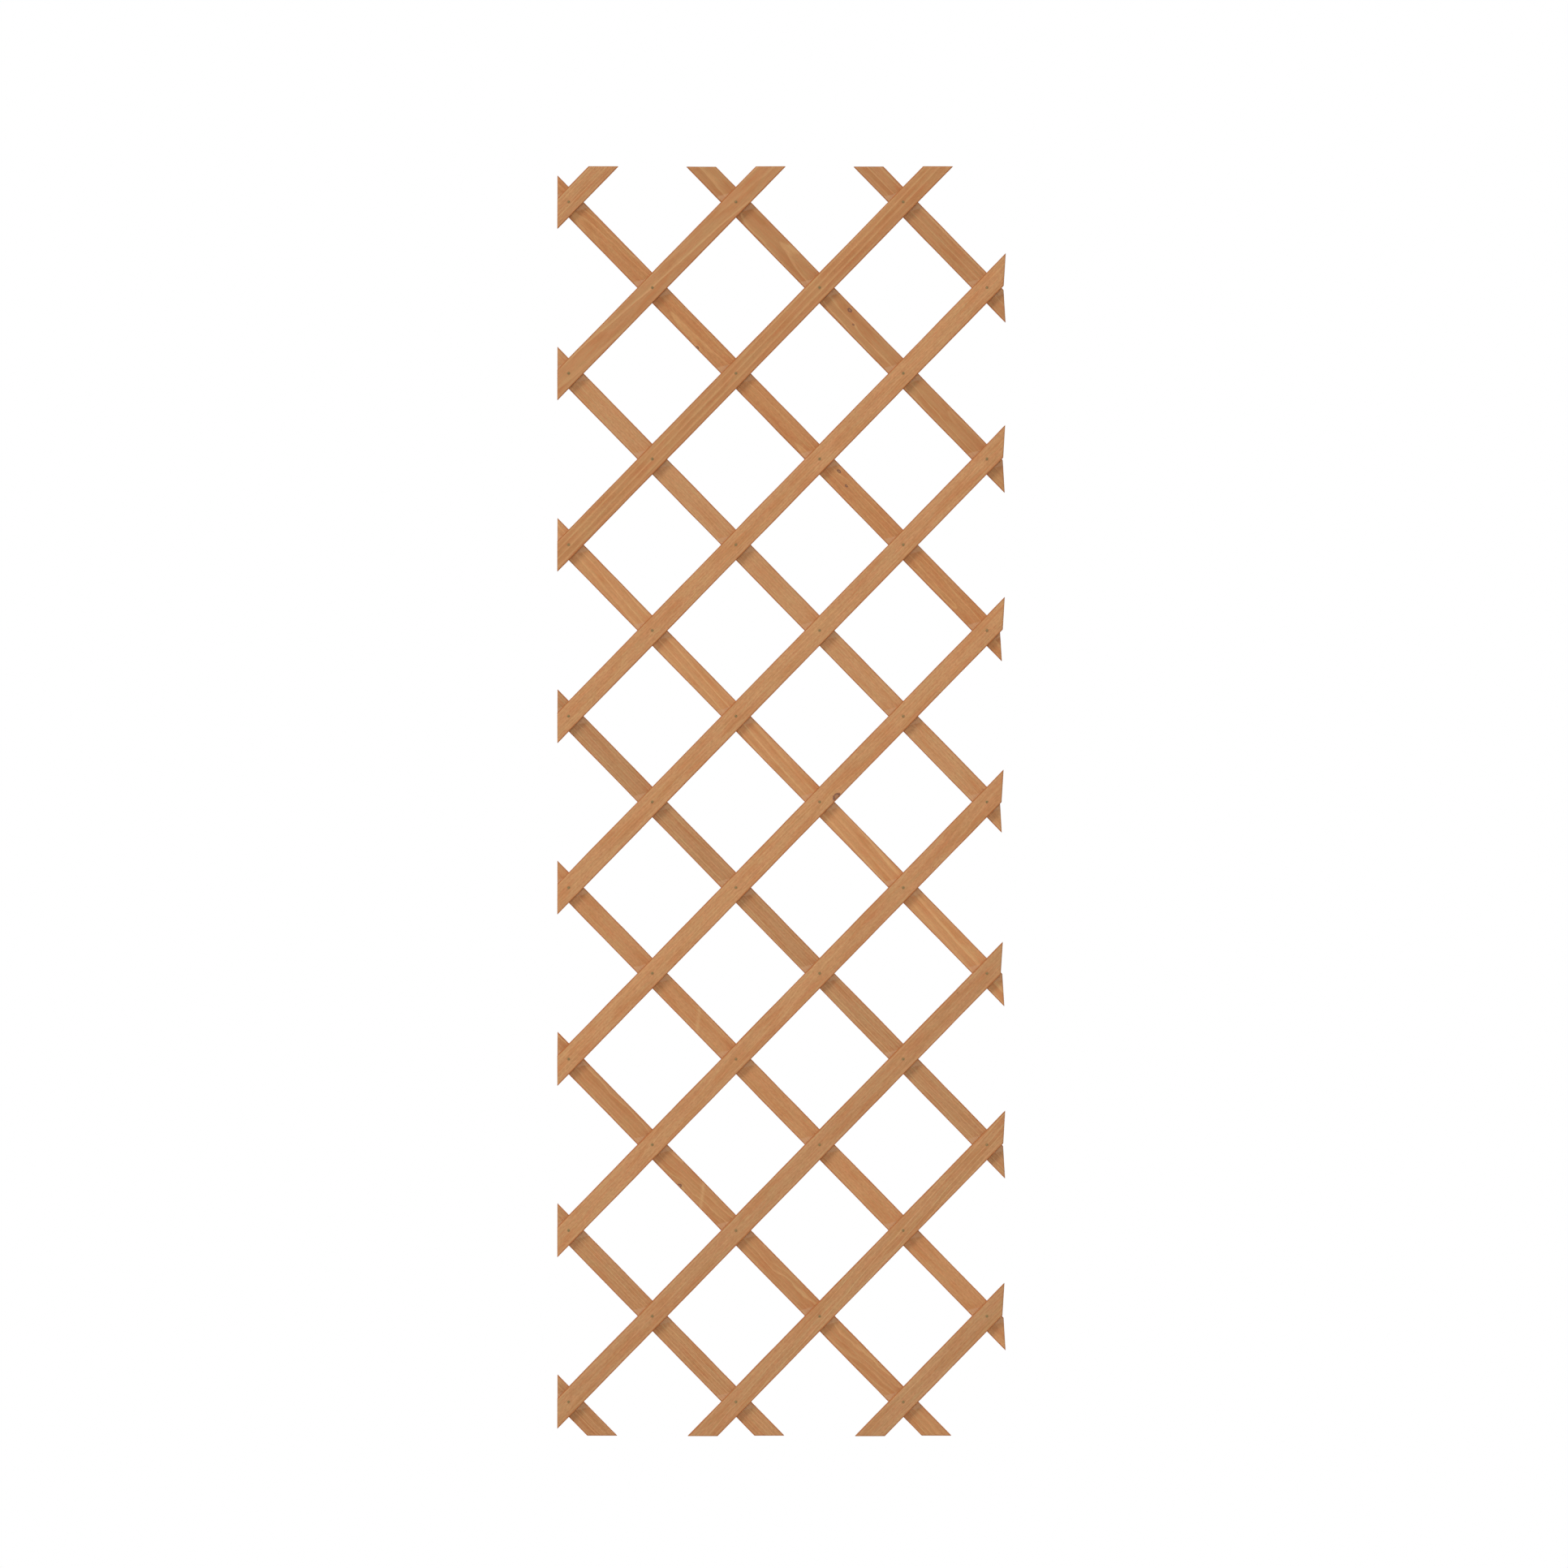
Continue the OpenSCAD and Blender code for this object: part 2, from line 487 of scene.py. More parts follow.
def build_marks_group():
    numbers = ("To Cut", "Half Width", "Half Thickness", "Middle", "Pitch", "Side", "Seed")
    outputs = dict.fromkeys(("Edge", "Wiped", "Cut", "Rivet", "Footprint"), NUMBER)
    inputs = {"Lath": ARROW, **dict.fromkeys(numbers, NUMBER)}
    tree, given = new_group("Marks of making", "ShaderNodeTree", inputs, outputs)
    along, depth, across = given["Lath"].split()
    to_cut, half_width, pitch = given["To Cut"], given["Half Width"], given["Pitch"]
    along_ragged = along / RAGGED_LENGTH + given["Seed"]
    ragged = swing(tree, along_ragged, depth / RAGGED_DEPTH, across / RAGGED_WIDTH)

    to_edge = half_width - abs(across) + ragged * RAGGED_EDGE
    to_face = given["Half Thickness"] - abs(depth - given["Middle"])
    arris = to_face.fade(*ARRIS_ENDS)
    long_edge = to_edge.fade(*EDGE_ENDS) * (arris * (1 - SIDE_STAIN) + SIDE_STAIN)
    wiped = to_edge.rise(*WIPED_STARTS) * to_edge.fade(*WIPED_ENDS)
    saw_edge = (to_cut + ragged * RAGGED_CUT).fade(*SAW_ENDS)

    from_rivet = (along + pitch / 2) % pitch - pitch / 2
    ring = (distance(from_rivet, across) + ragged * RAGGED_RUST).fade(*RUST_ENDS)
    askew = from_rivet * math.sin(DIPPED_ANGLE) - given["Side"] * across * math.cos(DIPPED_ANGLE)
    covered = (abs(askew) + ragged * RAGGED_PRINT - half_width).fade(*PRINT_ENDS)
    return hand_out(tree, {
        "Edge": long_edge.most(saw_edge * SAW_STAIN),
        "Wiped": wiped,
        "Cut": to_cut < SAWN_FACE,
        "Rivet": ring,
        "Footprint": covered * (abs(depth) < SLIP_FACE),
    })


marks_group = build_marks_group()
print("marks group:", len(marks_group.nodes), "nodes")

# %% [markdown]
# ## Rubs
# Two of the back laths carry a pale streak that runs slantwise over the grain, where something rubbed the
# stain off. The slant is its own, so it can't come from the grain or from the rivets: it is a soft band
# about a slanted line, broken up by noise. Like the knots, rubs are placed one after another, and each adds
# to the ones before.

# %% Rub group
RUB_SLANT = math.radians(52)
RUB_WIDTH = 4.5
RUB_RAGGED = 3.0
BROKEN_LENGTH, BROKEN_WIDTH = 12.0, 2.5
BROKEN_STARTS = (0.2, 0.6)


def build_rub_group():
    inputs = {"Lath": ARROW, "Along": NUMBER, "Rub": NUMBER}
    tree, given = new_group("Rub", "ShaderNodeTree", inputs, {"Rub": NUMBER})
    along, depth, across = given["Lath"].split()
    off_line = (along - given["Along"]) * math.sin(RUB_SLANT) + across * math.cos(RUB_SLANT)
    broken = noise(tree, along / BROKEN_LENGTH, depth / BROKEN_LENGTH, across / BROKEN_WIDTH)
    streak = (abs(off_line) + (broken - 0.5) * RUB_RAGGED).fade(0.0, RUB_WIDTH)
    return hand_out(tree, {"Rub": given["Rub"].most(streak * broken.rise(*BROKEN_STARTS))})


rub_group = build_rub_group()
print("rub group:", len(rub_group.nodes), "nodes")

# %% [markdown]
# ## The stain
# The last group turns all those masks into colour, gloss and relief. The palette is a handful of colours
# read from stained softwood in daylight: pinkish tan where the stain took, yellower tan where it took less,
# a pale late-wood line, orange brown on the edges. The colours are written as ordinary screen values and
# turned into the linear values that Blender mixes.

# %% Palette
def screen_colour(red, green, blue):
    """Linear colour from 8-bit screen values, by the standard screen curve."""
    def linear(level):
        share = level / 255
        return share / 12.92 if share <= 0.04045 else ((share + 0.055) / 1.055) ** 2.4
    return (linear(red), linear(green), linear(blue), 1.0)


STAINED = screen_colour(185, 129, 84)
THIN_STAIN = screen_colour(190, 142, 95)
DEEP_STAIN = screen_colour(179, 116, 68)
LATE_WOOD = screen_colour(207, 163, 112)
PORES = screen_colour(172, 108, 70)
EDGE_STAIN = screen_colour(171, 99, 49)
END_GRAIN = screen_colour(140, 84, 46)
BARE_WOOD = screen_colour(205, 165, 128)
KNOT_CORE = screen_colour(152, 108, 76)
KNOT_RIM = screen_colour(98, 62, 54)
SPECK = screen_colour(120, 74, 46)
RUST_SHADE = screen_colour(116, 84, 52)
print(f"stained wood {STAINED[0]:.3f} {STAINED[1]:.3f} {STAINED[2]:.3f} in linear colour")

# %% [markdown]
# The wood and its marks are laid on like coats of paint. A coat is a mask, a strength and a colour, and
# later coats cover earlier ones, so they stand in lists in the order in which they go on. Between the two
# lists a tint multiplies the colour, because fine fibres change the brightness more than the hue. In the
# tint, tone and warmth let each lath differ a little, as laths from different boards do. Where the stain is
# thin, and what shades, reddens, dulls or raises the surface, are weighted sums of masks, so the weights
# stand in tables too.

# %% Coats and weights
WOOD_COATS = (
    ("Thin", 1.0, THIN_STAIN),
    ("Deep", 0.55, DEEP_STAIN),
    ("Pores", 0.4, PORES),
    ("Line", 1.0, LATE_WOOD),
)
MARK_COATS = (
    ("Footprint", 0.45, BARE_WOOD),
    ("Worn", 1.0, LATE_WOOD),
    ("Core", 0.7, KNOT_CORE),
    ("Rim", 0.75, KNOT_RIM),
    ("Speck", 0.75, SPECK),
    ("Rivet", 0.3, RUST_SHADE),
    ("Edge", 0.9, EDGE_STAIN),
    ("Cut", 0.6, END_GRAIN),
)
THINNESS = {"Streak": 0.35, "Flecks": 0.35, "Fibre": 0.3}
SHADE = {"Fibre": 0.05, "Flecks": 0.12, "Streak": 0.07, "Blush": -0.05, "Hair": 0.1}
REDNESS = {"Fibre": -0.1, "Blush": 0.08}
DULLNESS = {"Line": -0.1, "Fibre": 0.1, "Cut": 0.15, "Footprint": 0.08}
RELIEF = {"Hair": 0.2, "Fibre": 0.35, "Fleck": 0.15, "Line": 0.35, "Rim": -0.4, "Speck": -0.6}


def mix(tree, factor, below, above, how="MIX"):
    """One colour laid over another."""
    # A Mix node has sockets for every kind of data. These are the ones for colours.
    colours = {0: factor, 6: below, 7: above}
    return result(tree, "ShaderNodeMix", colours, output=2, data_type="RGBA", blend_type=how)


def lay_on(tree, colour, masks, coats):
    """A colour with coats over it."""
    for label, strength, paint in coats:
        colour = mix(tree, masks[label] * strength, colour, paint)
    return colour


def weigh(masks, weights, middle=0.0):
    """The sum of masks times their weights, each mask counted from its middle."""
    return sum((masks[label] - middle) * weight for label, weight in weights.items())


print(len(WOOD_COATS) + len(MARK_COATS), "coats")

# %% Stain group
STAIN_INPUTS = ("Line", "Band", *GRAINS, "Speck", "Core", "Rim", "Edge", "Wiped", "Cut", "Rivet",
                "Footprint", "Rub", "Line Strength", "Band Strength", "Fleck Strength", "Tone", "Warmth")
WARM_RED, WARM_GREEN, WARM_BLUE = 0.03, -0.02, -0.07
RED_BALANCE = 0.5
DEEP_STARTS = (0.4, 1.0)
RUBBED = 0.5
WIPED_THIN = 0.14
ROUGHNESS = 0.61


def lath_tint(tree, masks):
    """Brightness and hue of one lath, with the fine changes along its fibres."""
    level = (weigh(masks, SHADE, middle=0.5) + 1) * masks["Tone"]
    redder = weigh(masks, REDNESS, middle=0.5)
    duller = 1 - redder * RED_BALANCE
    red = level * (masks["Warmth"] * WARM_RED + redder + 1)
    green = level * (masks["Warmth"] * WARM_GREEN + duller)
    blue = level * (masks["Warmth"] * WARM_BLUE + duller)
    return join(tree, red, green, blue)


def build_stain_group():
    outputs = {"Color": COLOUR, "Roughness": NUMBER, "Height": NUMBER}
    tree, given = new_group("Stain", "ShaderNodeTree", dict.fromkeys(STAIN_INPUTS, NUMBER), outputs)
    flecks = (given["Fleck"] - 0.5) * given["Fleck Strength"] + 0.5
    masks = {**given, "Flecks": flecks, "Line": given["Line"] * given["Line Strength"]}
    thinness = weigh(masks, THINNESS)
    masks["Thin"] = thinness + (given["Band"] - thinness) * given["Band Strength"]
    masks["Deep"] = given["Cloud"].rise(*DEEP_STARTS)
    masks["Pores"] = given["Pore"] * given["Fleck Strength"]
    masks["Worn"] = (given["Rub"] * RUBBED).most(given["Wiped"] * WIPED_THIN)
    wood = lay_on(tree, STAINED, masks, WOOD_COATS)
    wood = mix(tree, 1.0, wood, lath_tint(tree, masks), "MULTIPLY")
    return hand_out(tree, {
        "Color": lay_on(tree, wood, masks, MARK_COATS),
        "Roughness": weigh(masks, DULLNESS) + ROUGHNESS,
        "Height": weigh(masks, RELIEF),
    })


stain_group = build_stain_group()
print("stain group:", len(stain_group.nodes), "nodes")

# %% [markdown]
# ## A finish for each lath
# No two laths come from the same place in the tree, so each has a material of its own that places the
# shared groups with its own values. A Mapping node set to Texture undoes the lath's place and slant: it
# turns Object coordinates into millimetres along, through and across that lath. Without it the grain would
# run level through the whole panel. The shader stays in the material, outside the groups, and plain numbers
# that don't vary, such as the specular level, sit on it.

# %% What a figure holds
class Figure(NamedTuple):
    """What the grain of one lath shows. Sizes in millimetres, slopes in millimetres per millimetre."""
    across: float = 110.0
    depth: float = 14.0
    lean: float = 0.0
    dip: float = 0.0
    ring: float = 4.6
    line_width: float = 1.6
    wander: float = 5.0
    line: float = 0.6
    bands: float = 0.3
    flecks: float = 1.0
    tone: float = 1.0
    warmth: float = 0.0
    short: float = 0.0
    knots: tuple = ()
    rubs: tuple = ()


print("a figure has", len(Figure._fields), "values")

# %% Wood material
BUMP_DEPTH = 0.25 * MM
BUMP_STRENGTH = 0.6
WOOD_SHINE = 0.25
CUT_ATTRIBUTE = "to_cut"


def new_material(name):
    """A material with its tree and its Principled shader."""
    material = bpy.data.materials.new(name)
    material.use_nodes = True
    return material, material.node_tree, material.node_tree.nodes["Principled BSDF"]


def add_bump(tree, shader, height, depth, strength):
    """Lets a height bend the shader's normals."""
    bump = {"Height": height, "Distance": depth, "Strength": strength}
    plug(result(tree, "ShaderNodeBump", bump), shader.inputs["Normal"])


def lath_coordinates(tree, layer, first):
    """Millimetres along, through and across a lath, from its first rivet."""
    place = {"Vector": result(tree, "ShaderNodeTexCoord", output="Object"), "Location": first,
             "Rotation": (0, layer.turn, 0), "Scale": (MM, MM, MM)}
    return result(tree, "ShaderNodeMapping", place, vector_type="TEXTURE")


def wood_masks(tree, lath, layer, figure, seed):
    """Every mask that the stain needs, for one lath."""
    flow = {"Lath": lath, "Core": 0.0, "Rim": 0.0}
    for along, across, radius in figure.knots:
        flow = place_group(tree, knot_group, {**flow, "Along": along, "Across": across, "Radius": radius})
    rings = place_group(tree, ring_group, {
        "Lath": flow["Lath"], "Heart Across": figure.across, "Heart Depth": figure.depth,
        "Lean": figure.lean, "Dip": figure.dip, "Ring Width": figure.ring,
        "Line Width": figure.line_width, "Wander": figure.wander, "Seed": seed})
    fibre = place_group(tree, fibre_group, {"Lath": flow["Lath"], "Seed": seed})
    to_cut = result(tree, "ShaderNodeAttribute", output="Fac", attribute_name=CUT_ATTRIBUTE) / MM
    marks = place_group(tree, marks_group, {
        "Lath": lath, "To Cut": to_cut, "Half Width": LATH_WIDTH / 2 / MM,
        "Half Thickness": lath_thickness / 2 / MM, "Middle": layer.middle / MM,
        "Pitch": RIVET_PITCH / MM, "Side": layer.side, "Seed": seed})
    rubbed = {"Rub": 0.0}
    for along in figure.rubs:
        rubbed = place_group(tree, rub_group, {**rubbed, "Lath": lath, "Along": along})
    return {**rings, **fibre, **marks, **rubbed, "Core": flow["Core"], "Rim": flow["Rim"]}


def stained_wood(name, layer, first, figure, seed):
    """The material of one lath, laid out from its first rivet."""
    material, tree, shader = new_material(name)
    lath = lath_coordinates(tree, layer, first)
    stain = place_group(tree, stain_group, {
        **wood_masks(tree, lath, layer, figure, seed), "Line Strength": figure.line,
        "Band Strength": figure.bands, "Fleck Strength": figure.flecks,
        "Tone": figure.tone, "Warmth": figure.warmth})
    plug(stain["Color"], shader.inputs["Base Color"])
    plug(stain["Roughness"], shader.inputs["Roughness"])
    add_bump(tree, shader, stain["Height"], BUMP_DEPTH, BUMP_STRENGTH)
    shader.inputs["Specular IOR Level"].default_value = WOOD_SHINE
    return material


print("finish ready")

# %% [markdown]
# ## Figures read from the photograph
# The list below is the character of each lath, from the top of the panel down. Straight fine lines want the
# heart far across, arches want it just behind the face with a little dip, and a long line that wanders from
# edge to edge wants a lean and wide rings. A few laths are sawn a little short at the right-hand end. Knots
# are given from the first rivet of their lath, as their place along it and across it and their radius.

# %% Lath figures
FRONT_FIGURES = (
    Figure(ring=4.4, line=0.9, wander=2.0, warmth=0.4),
    Figure(across=150, lean=-0.075, ring=15.0, line_width=4.0, wander=12.0, line=0.7,
           bands=0.9, flecks=0.4, tone=0.975, warmth=0.5),
    Figure(lean=0.012, ring=8.0, line_width=3.4, wander=2.5, line=0.5,
           bands=0.6, flecks=0.5, tone=0.915, warmth=1.5),
    Figure(ring=3.6, line=0.3, tone=1.05, warmth=0.1),
    Figure(ring=4.0, line=0.3, tone=1.05, warmth=-0.1, short=0.7),
    Figure(ring=4.2, line=0.3, tone=1.05, short=1.3, knots=((526, -11.5, 4.0),)),
    Figure(across=26, depth=22, dip=0.05, ring=4.8, wander=8.0, line=0.3,
           tone=1.02, warmth=-0.1, short=3.0),
    Figure(ring=3.8, line=0.3, tone=0.96, warmth=-0.4, short=4.1),
    Figure(across=50, lean=0.05, ring=5.8, line_width=2.0, wander=8.0, line=0.5,
           bands=0.5, tone=0.95, warmth=-0.2, short=0.7),
    Figure(across=60, ring=4.2, line=0.4, tone=0.945, warmth=-0.75, short=1.8),
)
REAR_FIGURES = (
    Figure(lean=0.006, ring=7.0, line_width=2.4, wander=2.5, line=0.6,
           flecks=0.6, tone=0.9, warmth=0.9),
    Figure(across=8, depth=26, dip=-0.05, ring=8.0, line_width=1.8, wander=14.0, line=0.6,
           bands=0.9, flecks=0.4, tone=0.875, warmth=1.4, short=1.3,
           knots=((220, 8.5, 2.4), (238, -2.0, 1.2))),
    Figure(across=-8, depth=24, dip=-0.04, ring=4.8, wander=12.0, line=0.5,
           bands=0.5, tone=0.93, warmth=2.0, short=5.2,
           knots=((535, 7.8, 2.0), (557, 0.9, 1.6), (272, -13.5, 1.8))),
    Figure(ring=4.0, line=0.3, tone=1.05, warmth=-0.4, short=5.2),
    Figure(across=140, lean=-0.05, ring=11.0, line_width=4.5, wander=9.0, line=0.55,
           bands=0.6, flecks=0.7, tone=1.06, warmth=0.7, short=1.8),
    Figure(ring=3.8, line=0.55, tone=0.91, warmth=-0.1, short=0.7),
    Figure(across=70, ring=4.4, line=0.3, tone=0.99, warmth=0.7, rubs=(260,)),
    Figure(across=22, dip=0.04, ring=4.2, wander=18.0, line=0.7,
           bands=0.6, flecks=0.6, tone=0.915, warmth=1.1,
           knots=((236, -13.0, 2.2), (236.5, -13.0, 1.1)), rubs=(268,)),
    Figure(ring=4.2, line=0.7, wander=3.0, tone=0.92, warmth=0.2),
    Figure(line=0.8, wander=3.0, tone=0.85, warmth=0.7),
)
print("figures:", len(FRONT_FIGURES), "front,", len(REAR_FIGURES), "rear")

# %% [markdown]
# ## One tree for every lath
# All twenty laths are the same stock, cut to other lengths and slants, so they come from one geometry tree.
# A rounded rectangle is swept along a line. Sweeping forgets where a point sat in the section and on the
# line, so both are captured first. Then a rule moves every point: its place along the lath runs from one
# slanted cut to the other, and its place across follows a slow noise, because a thin lath is never quite
# straight-edged. The first and last ring are drawn in a little, which breaks the arris of the saw cut.

# %% Lath stock
EDGE_SEGMENTS = 5
WAVE_APART = 5.0


def keep_field(tree, shape, label, kind, field):
    """Keeps a field on a shape for later nodes: the shape, and the kept values."""
    node = add_node(tree, "GeometryNodeCaptureAttribute", {"Geometry": shape})
    node.capture_items.new(kind, label)
    plug(field, node.inputs[label])
    return Signal(node.outputs[0]), Signal(node.outputs[label])


def swept_stock(tree, given):
    """Uncut lath stock, with every point's share of the length and its place in the section."""
    size = {"Width": given["Width"], "Height": given["Thickness"]}
    section = result(tree, "GeometryNodeCurvePrimitiveQuadrilateral", size)
    rounding = {"Curve": section, "Count": EDGE_SEGMENTS, "Radius": given["Edge Radius"],
                "Limit Radius": True}
    section = result(tree, "GeometryNodeFilletCurve", rounding, mode="POLY")
    here = result(tree, "GeometryNodeInputPosition")
    section, place = keep_field(tree, section, "Section", "VECTOR", here)
    rail = result(tree, "GeometryNodeCurvePrimitiveLine", {"End": (1, 0, 0)})
    rail = result(tree, "GeometryNodeResampleCurve", {"Curve": rail, "Count": given["Rings"]})
    factor = result(tree, "GeometryNodeSplineParameter", output="Factor")
    rail, share = keep_field(tree, rail, "Share", "FLOAT", factor)
    sweep = {"Curve": rail, "Profile Curve": section, "Fill Caps": True}
    return result(tree, "GeometryNodeCurveToMesh", sweep), share, place


def sawn_points(tree, given, share, place):
    """Where the points of the stock go: between the two saw cuts, along wavy edges."""
    across, depth, _ = place.split()
    # Rings are whole numbers, so half a step tells the first and the last one from the rest.
    ring = share * (given["Rings"] - 1)
    at_start = ring < 0.5
    at_end = ring > given["Rings"] - 1.5
    evenly = ((ring - 1) / (given["Rings"] - 3)).most(0.0).least(1.0)
    ease = given["Cut Ease"]
    drawn_in = (at_start + at_end) * ease * 2
    across_cut = across * (1 - drawn_in / given["Width"])
    depth_cut = depth * (1 - drawn_in / given["Thickness"])
    start = given["Start"] + given["Start Slope"] * across_cut
    finish = given["End"] + given["End Slope"] * across_cut
    along = start + ease * (1 - at_start + at_end) + (finish - start - ease * 2) * evenly
    side = across.sign()
    seed = given["Seed"]
    wave = swing(tree, along / given["Wave Length"], side * WAVE_APART + seed, seed)
    return join(tree, along, depth_cut, across_cut + side * wave * given["Wave Height"] * 2)


print("lath stock ready")

# %% [markdown]
# Two drills are subtracted at every rivet: a thin one right through, and a wider one that leaves a seat for
# the head or the tail in the outer face. Last, each point keeps its distance to the nearest saw cut for the
# finish, and the lath is turned and moved to its place.

# %% Lath tree
DRILL_SIDES = 32
LATH_SIZES = ("Start", "Start Slope", "End", "End Slope", "Width", "Thickness", "Edge Radius", "Cut Ease",
              "Wave Height", "Wave Length", "Seed", "Bore", "Seat", "Seat Depth", "Seat Side", "Pitch",
              "Turn")


def drilled(tree, given, lath, diameter, shift):
    """A lath with a row of round holes, whose drills are shifted in depth."""
    bit = {"Vertices": DRILL_SIDES, "Radius": diameter / 2, "Depth": given["Thickness"] * 2}
    drill = result(tree, "GeometryNodeMeshCylinder", bit)
    aimed = {"Geometry": drill, "Translation": join(tree, 0.0, shift, 0.0), "Rotation": (math.pi / 2, 0, 0)}
    drill = result(tree, "GeometryNodeTransform", aimed)
    row = {"Count": given["Rivets"], "Offset": join(tree, given["Pitch"], 0.0, 0.0)}
    holes = result(tree, "GeometryNodeMeshLine", row)
    drills = result(tree, "GeometryNodeInstanceOnPoints", {"Points": holes, "Instance": drill})
    drills = result(tree, "GeometryNodeRealizeInstances", {"Geometry": drills})
    cut = {"Mesh 1": lath, "Mesh 2": drills}
    return result(tree, "GeometryNodeMeshBoolean", cut, operation="DIFFERENCE", solver="MANIFOLD")


def to_saw_cut(tree, given):
    """How far a point lies from the nearest saw cut, along the lath."""
    along, _, across = result(tree, "GeometryNodeInputPosition").split()
    to_start = along - given["Start"] - given["Start Slope"] * across
    to_end = given["End"] + given["End Slope"] * across - along
    return to_start.least(to_end)


def build_lath_tree():
    inputs = {**dict.fromkeys(LATH_SIZES, NUMBER), "Rings": WHOLE, "Rivets": WHOLE, "Place": ARROW,
              "Finish": FINISH}
    tree, given = new_group("Lath", "GeometryNodeTree", inputs, {"Lath": SHAPE})
    stock, share, place = swept_stock(tree, given)
    points = {"Geometry": stock, "Position": sawn_points(tree, given, share, place)}
    lath = result(tree, "GeometryNodeSetPosition", points)
    lath = result(tree, "GeometryNodeFlipFaces", {"Mesh": lath})
    lath = drilled(tree, given, lath, given["Bore"], 0.0)
    # A drill is two thicknesses long, so this shift brings its tip to the floor of the seat.
    seat_shift = given["Seat Side"] * (given["Thickness"] * 1.5 - given["Seat Depth"])
    lath = drilled(tree, given, lath, given["Seat"], seat_shift)
    kept = {"Geometry": lath, "Name": CUT_ATTRIBUTE, "Value": to_saw_cut(tree, given)}
    lath = result(tree, "GeometryNodeStoreNamedAttribute", kept)
    turn = join(tree, 0.0, given["Turn"], 0.0)
    moved = {"Geometry": lath, "Translation": given["Place"], "Rotation": turn}
    lath = result(tree, "GeometryNodeTransform", moved)
    lath = result(tree, "GeometryNodeRealizeInstances", {"Geometry": lath})
    lath = result(tree, "GeometryNodeSetMaterial", {"Geometry": lath, "Material": given["Finish"]})
    return hand_out(tree, {"Lath": lath})


lath_tree = build_lath_tree()
print("lath tree:", len(lath_tree.nodes), "nodes")

# %% [markdown]
# ## From a tree to a plain mesh
# A modifier keeps a tree live, and its inputs are reached by the identifier of the socket and not by its
# name. The export wants plain meshes, so the evaluated result is copied into a mesh of its own, and the
# carrier object with its modifier is thrown away.

# %% Bake a tree
def add_object(name, data):
    """Puts an object with this mesh, light or camera into the scene."""
    thing = bpy.data.objects.new(name, data)
    bpy.context.scene.collection.objects.link(thing)
    return thing


def mesh_from_tree(name, tree, values):
    """Runs a geometry tree with these inputs, and returns its result as a plain object."""
    carrier = add_object(name + "_carrier", bpy.data.meshes.new(name + "_carrier"))
    modifier = carrier.modifiers.new(tree.name, "NODES")
    modifier.node_group = tree
    for item in tree.interface.items_tree:
        if item.in_out == "INPUT" and item.name in values:
            modifier[item.identifier] = values[item.name]
    evaluated = carrier.evaluated_get(bpy.context.evaluated_depsgraph_get())
    mesh = bpy.data.meshes.new_from_object(evaluated)
    mesh.name = name
    # The tree can leave an empty material slot in front of the finish.
    if mesh.materials[0] is None:
        mesh.materials.pop(index=0)
    bpy.data.objects.remove(carrier)
    return add_object(name, mesh)


def body_of(node):
    """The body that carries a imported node."""
    bodies = frame["record"]["behaviour"]["bodies"]
    return next(body for body, members in bodies.items() if node in members)


print("mesh_from_tree ready")

# %% [markdown]
# ## The laths
# Each lath runs through its own row of rivets. Its ends are sawn where it meets the outline: upright on the
# left, level at the top and bottom, and a few degrees off upright on the right, where every lath ends by
# itself. A cut is a plane, and in the lath's own coordinates it is one number for the place on the middle
# line and one slope.

# %% Lath layout
END_SKEW = math.radians(3.5)
RIGHT_MARGIN = 25 * MM
UPRIGHT = Vector((1, 0, 0))
LEVEL = Vector((0, 0, 1))


def lath_cells(layer, number):
    """The grid cells that a lath passes through, from left to right."""
    first_row = layer.first_row + 2 * (number - 1)
    cells = [(column, first_row + int(layer.side) * column) for column in range(COLUMNS)]
    return [cell for cell in cells if 0 <= cell[1] < ROWS]


def saw_cut(layer, first, point, normal):
    """Where a cut plane meets the lath: its place on the middle line, and its slope across the lath."""
    direction = Vector((math.cos(layer.turn), 0, -math.sin(layer.turn)))
    sideways = Vector((math.sin(layer.turn), 0, math.cos(layer.turn)))
    place = (point - first).dot(normal) / direction.dot(normal)
    return place, -sideways.dot(normal) / direction.dot(normal)


def end_cuts(layer, cells, short):
    """The two saw cuts of a lath, from the outline of the panel. The right-hand end may be sawn short."""
    low, high = cad_box
    near_level, far_level = (low, high) if layer is FRONT else (high, low)
    first, last = crossing(*cells[0]), crossing(*cells[-1])
    if cells[0][0] == 0:
        start = saw_cut(layer, first, Vector(low), UPRIGHT)
    else:
        start = saw_cut(layer, first, Vector(near_level), LEVEL)
    if cells[-1][0] < COLUMNS - 1:
        return start, saw_cut(layer, first, Vector(far_level), LEVEL)
    margin = RIGHT_MARGIN - short
    skew = math.copysign(END_SKEW, layer.turn)
    corner = last + Vector((margin, 0, -math.tan(layer.turn) * margin))
    return start, saw_cut(layer, first, corner, Vector((math.cos(skew), 0, math.sin(skew))))


rivet_count = sum(len(lath_cells(FRONT, number)) for number in range(1, len(FRONT_FIGURES) + 1))
print("rivets along the front laths:", rivet_count)

# %% Make the laths
RING_SPACING = 4 * MM
SPARE_RINGS = 4
EDGE_RADIUS = 0.7 * MM
CUT_EASE = 0.35 * MM
WAVE_HEIGHT = 0.5 * MM
WAVE_LENGTH = 70 * MM
BORE = 2.16 * MM
# A seat is its diameter and its depth.
HEAD_SEAT = (3.5 * MM, 1.0 * MM)
TAIL_SEAT = (5.0 * MM, 1.2 * MM)
SEED_STEP = 3.7


